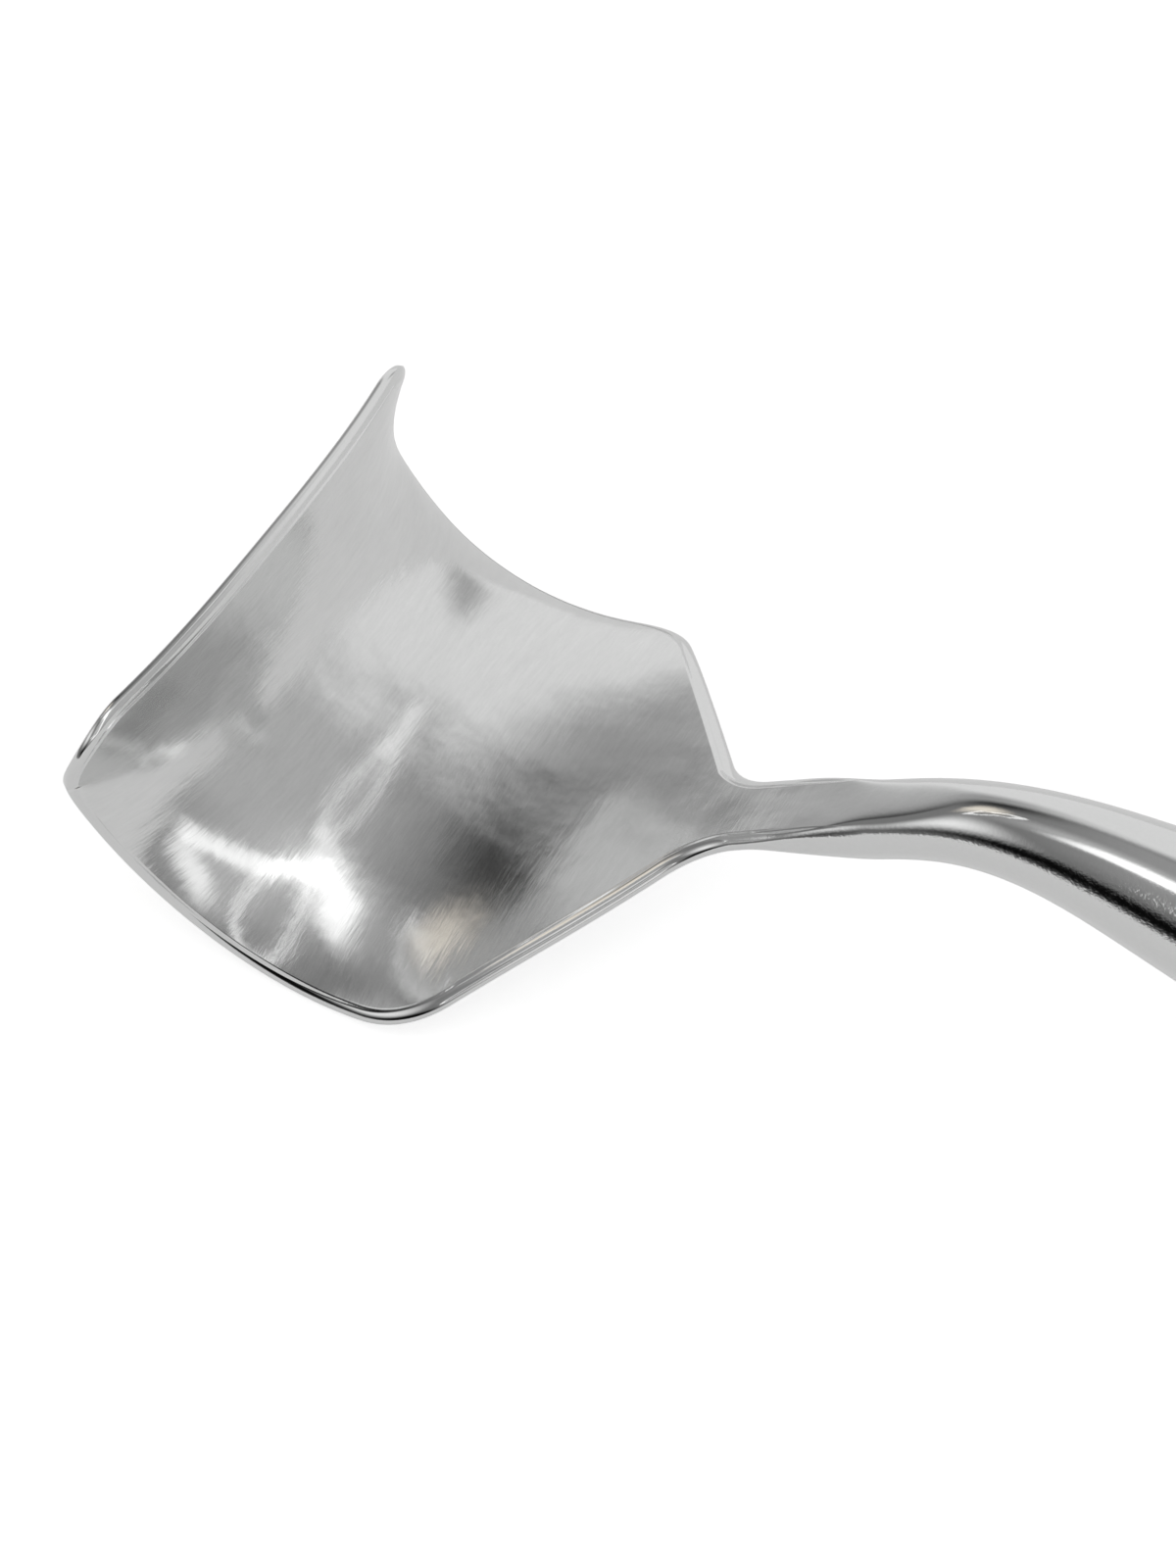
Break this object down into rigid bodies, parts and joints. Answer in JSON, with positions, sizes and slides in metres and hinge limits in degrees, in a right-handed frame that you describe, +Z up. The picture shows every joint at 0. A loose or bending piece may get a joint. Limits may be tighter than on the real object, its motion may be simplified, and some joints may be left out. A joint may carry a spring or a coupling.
{
  "type": "abdominal retractor",
  "caption": "Hand-held surgical retractor with a broad saddle-shaped hook blade, a flat narrow neck and a rounded grip, in one piece of polished steel.",
  "frame": {"origin": "centre of the footprint on the surface that the instrument lies on", "axes": "+X along the instrument from the blade's lip to the end of the grip, +Z up with the hollow of the blade facing up, the plane Y = 0 halves it"},
  "size_m": [0.2402, 0.0728, 0.0399],
  "materials": {
    "steel": "satin polished stainless steel inside the blade, brighter polish on the rims, neck and grip"
  },
  "bodies": {
    "root": {"retractor": "steel"}
  },
  "joints": []
}
